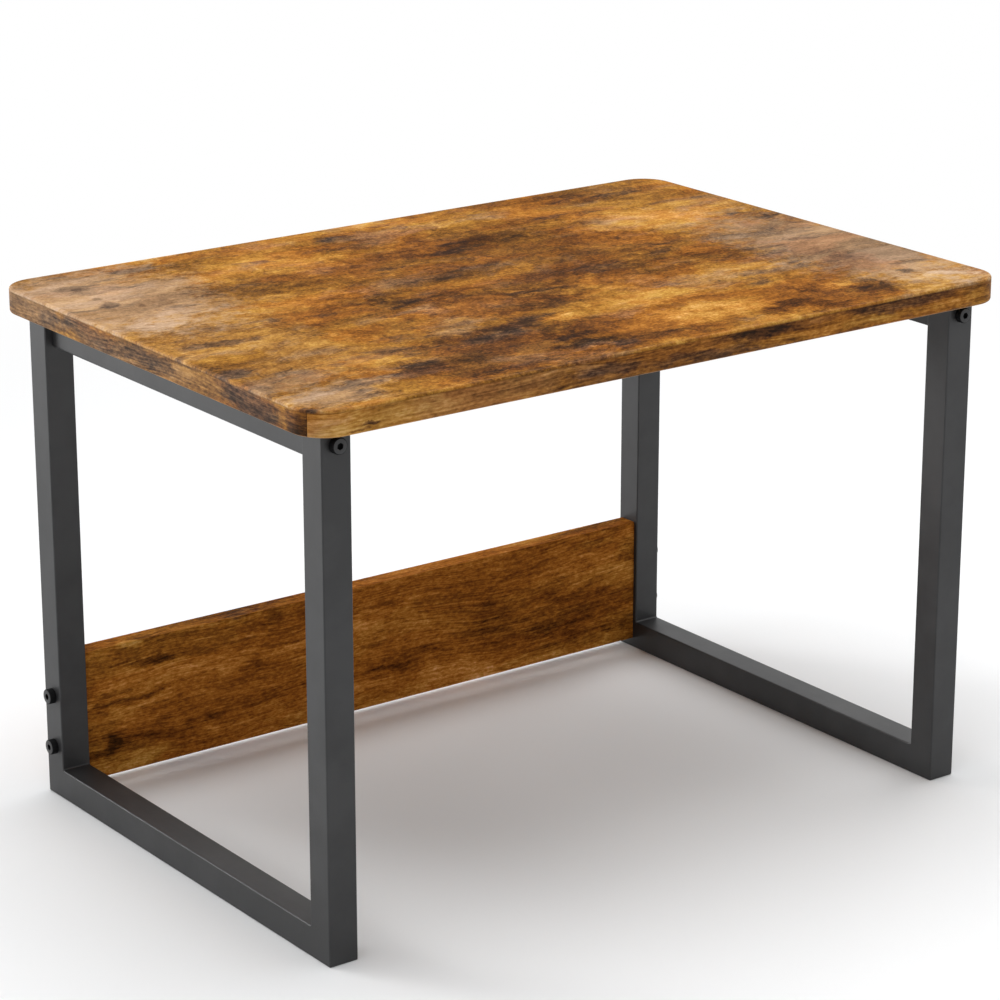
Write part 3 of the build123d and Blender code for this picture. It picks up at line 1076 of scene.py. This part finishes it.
def add_rod(bm, radius, length, matrix, segments=48):
    """A round rod along Z, moved by a matrix."""
    bmesh.ops.create_cone(
        bm, cap_ends=True, segments=segments, radius1=radius, radius2=radius,
        depth=length, matrix=matrix,
    )


back_material = back_wood()
panel = bmesh.new()
add_box(panel, back_low, back_high)
drill = bmesh.new()
hole_depth = back_high.y - back_low.y - nut_floor
for x, z in nut_places:
    add_rod(drill, nut_hole_radius, 2 * hole_depth, facing((x, back_high.y, z), (0, 1, 0)))
drilled = cut_away(panel, drill)
finish_piece("back_board_panel", drilled, [back_material], ["back_board"], 30)

bm = bmesh.new()
add_box(bm, strip_low, (strip_high.x, strip_high.y, back_low.z))
add_box(bm, (strip_low.x, strip_low.y, back_high.z), strip_high)
for side in sides.values():
    near, far = sorted((side * back_high.x, side * strip_high.x))
    low = (near, strip_low.y, back_low.z + strip_joint)
    high = (far, strip_high.y, back_high.z - strip_joint)
    add_box(bm, low, high)
bevel_edges(bm, list(bm.edges), strip_edge, 2)
finish_piece("back_board_strips", bm, [back_material], ["back_board_edge_bands"])

# %% [markdown]
# ## Barrel nuts and screws
#
# A barrel nut is a short steel rod with a driver slot in its end. The screws that hold the board down have
# pan heads with a cross. Both recesses are cut the same way as the holes: a thin box taken out of the rod's
# end. The screw's shank is one more rod, and its last end is pushed out and drawn in to a point.

# %% Barrel nuts and screws
slot_width = 1.5 * MM
slot_depth = 1.2 * MM
nut_edge = 0.4 * MM
rods = bmesh.new()
slots = bmesh.new()
for x, z in nut_places:
    middle = (nut_low.y + nut_high.y) / 2
    add_rod(rods, nut_radius, nut_high.y - nut_low.y, facing((x, middle, z), (0, 1, 0)))
    reach = nut_radius * 1.1
    low = (x - reach, nut_high.y - slot_depth, z - slot_width / 2)
    high = (x + reach, nut_high.y + MM, z + slot_width / 2)
    add_box(slots, low, high)
rims = [e for e in rods.edges if close_to(e.verts[0].co.y, e.verts[1].co.y)]
bevel_edges(rods, rims, nut_edge, 2)
nuts = cut_away(rods, slots)
finish_piece("barrel_nuts_steel", nuts, [zinc], ["barrel_nuts"], 30, False)

screw_head_radius = 4.0 * MM
screw_head_height = 2.6 * MM
screw_head_edge = 1.2 * MM
screw_shank_radius = 2.0 * MM
screw_point = 4.0 * MM
cross_width = 1.2 * MM
cross_length = 4.4 * MM
cross_depth = 1.4 * MM
screw_y = screw_high.y - screw_head_radius
screw_spots = [
    Vector((side * leg_x, end * screw_y, rail_low.z))
    for side in sides.values()
    for end in (-1, 1)
]
heads = bmesh.new()
crosses = bmesh.new()
for spot in screw_spots:
    middle = spot - Vector((0, 0, screw_head_height / 2))
    add_rod(heads, screw_head_radius, screw_head_height, Matrix.Translation(middle))
    for long_x, long_y in ((cross_length, cross_width), (cross_width, cross_length)):
        low = spot + Vector((-long_x / 2, -long_y / 2, -screw_head_height - MM))
        high = spot + Vector((long_x / 2, long_y / 2, cross_depth - screw_head_height))
        add_box(crosses, low, high)
head_end = rail_low.z - screw_head_height
low_rims = [e for e in heads.edges if all(close_to(v.co.z, head_end) for v in e.verts)]
bevel_edges(heads, low_rims, screw_head_edge, 5)
screws = cut_away(heads, crosses)
shank_length = screw_high.z - rail_low.z - screw_point
for spot in screw_spots:
    middle = spot + Vector((0, 0, shank_length / 2))
    before = set(screws.faces)
    add_rod(screws, screw_shank_radius, shank_length, Matrix.Translation(middle), 24)
    added = [f for f in screws.faces if f not in before]
    upper_end = max(added, key=lambda f: f.calc_center_median().z)
    tip = extrude(screws, [upper_end], (0, 0, screw_point))
    tip_verts = list({v for f in tip for v in f.verts})
    bmesh.ops.scale(screws, vec=(0.1, 0.1, 1), verts=tip_verts, space=Matrix.Translation(-spot))
finish_piece("board_screws_steel", screws, [zinc], ["board_screws"], 30, False)

# %% [markdown]
# ## The studio
#
# A pale floor, a white surround and soft lamps. The surround is white to the camera and in reflections, but
# its light on the shelf is weaker, so the white costs no colour. The floor is real near the shelf, where it
# takes the shadow, and turns into plain white further out, so that no horizon shows.
#
# Three lamps do the rest. A large one hangs above. One stands to the left and behind, so that the left faces
# of the black tubes shine grey while their front faces stay dark. It has a grid, the honeycomb that keeps a
# beam narrow, and is aimed high, so the tubes get darker towards the floor. A weak one lifts the right side.

# %% The studio
floor_size = 24.0
floor_colour = srgb(239, 240, 241)
floor_fade_start = 0.55
floor_fade_end = 1.5
surround_on_shelf = 0.55


def shown_to_eye(tree):
    """1 for rays of the camera, of reflections and through glass, otherwise 0."""
    path = node(tree, "ShaderNodeLightPath").outputs
    seen = calc(tree, "ADD", path["Is Camera Ray"], path["Is Glossy Ray"])
    return calc(tree, "ADD", seen, path["Is Transmission Ray"], clamp=True)


def studio_floor():
    bm = bmesh.new()
    bmesh.ops.create_grid(bm, x_segments=1, y_segments=1, size=floor_size / 2)
    mesh = bpy.data.meshes.new("floor")
    bm.to_mesh(mesh)
    bm.free()
    floor = bpy.data.objects.new("floor", mesh)
    bpy.context.scene.collection.objects.link(floor)
    material, tree, shader = new_material("floor_white")
    place = object_place(tree)
    shader.inputs["Base Color"].default_value = floor_colour
    shader.inputs["Roughness"].default_value = 0.9
    shader.inputs["Specular IOR Level"].default_value = 0.0
    distance = node(tree, "ShaderNodeVectorMath", {0: place}, operation="LENGTH").outputs["Value"]
    far = spread(tree, distance, floor_fade_start, floor_fade_end)
    white = node(tree, "ShaderNodeEmission", {"Color": (1, 1, 1, 1), "Strength": 1.0}).outputs[0]
    factor = calc(tree, "MULTIPLY", far, shown_to_eye(tree))
    mixed = node(tree, "ShaderNodeMixShader", {0: factor, 1: shader.outputs[0], 2: white}).outputs[0]
    tree.links.new(mixed, tree.nodes["Material Output"].inputs["Surface"])
    mesh.materials.append(material)
    floor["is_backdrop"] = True
    return floor


studio_floor()

world = bpy.data.worlds.new("surround")
bpy.context.scene.world = world
world.use_nodes = True
surround = world.node_tree
strength = spread(surround, shown_to_eye(surround), 0.0, 1.0, surround_on_shelf, 1.0)
background = surround.nodes["Background"]
background.inputs["Color"].default_value = (1, 1, 1, 1)
surround.links.new(strength, background.inputs["Strength"])


def softbox(name, place, target, width, height, power, grid=180):
    """A rectangular lamp that faces its target. A grid narrows its beam to this many degrees."""
    data = bpy.data.lights.new(name, "AREA")
    data.shape = "RECTANGLE"
    data.size = width
    data.size_y = height
    data.energy = power
    data.spread = math.radians(grid)
    lamp = bpy.data.objects.new(name, data)
    lamp.location = place
    lamp.rotation_mode = "QUATERNION"
    lamp.rotation_quaternion = (Vector(target) - Vector(place)).to_track_quat("-Z", "Y")
    lamp.visible_camera = False
    bpy.context.scene.collection.objects.link(lamp)
    return lamp


shelf_middle = (0, 0, 0.2)
softbox("top_softbox", (-0.1, 0.2, 2.4), shelf_middle, 2.2, 2.2, 43)
softbox("left_softbox", (-1.3, 1.7, 0.65), (-0.25, 0.0, 0.48), 1.5, 0.4, 3.9, 36)
softbox("right_softbox", (1.7, 0.3, 1.3), shelf_middle, 1.2, 1.2, 8)
scene = bpy.context.scene
scene.view_settings.view_transform = "Standard"

# %% [markdown]
#
# The dressed shelf has to fill the same box as the frame that it stands for. Its box is printed here.

low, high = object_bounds()
print("visual size:", [round(v, 4) for v in high - low])
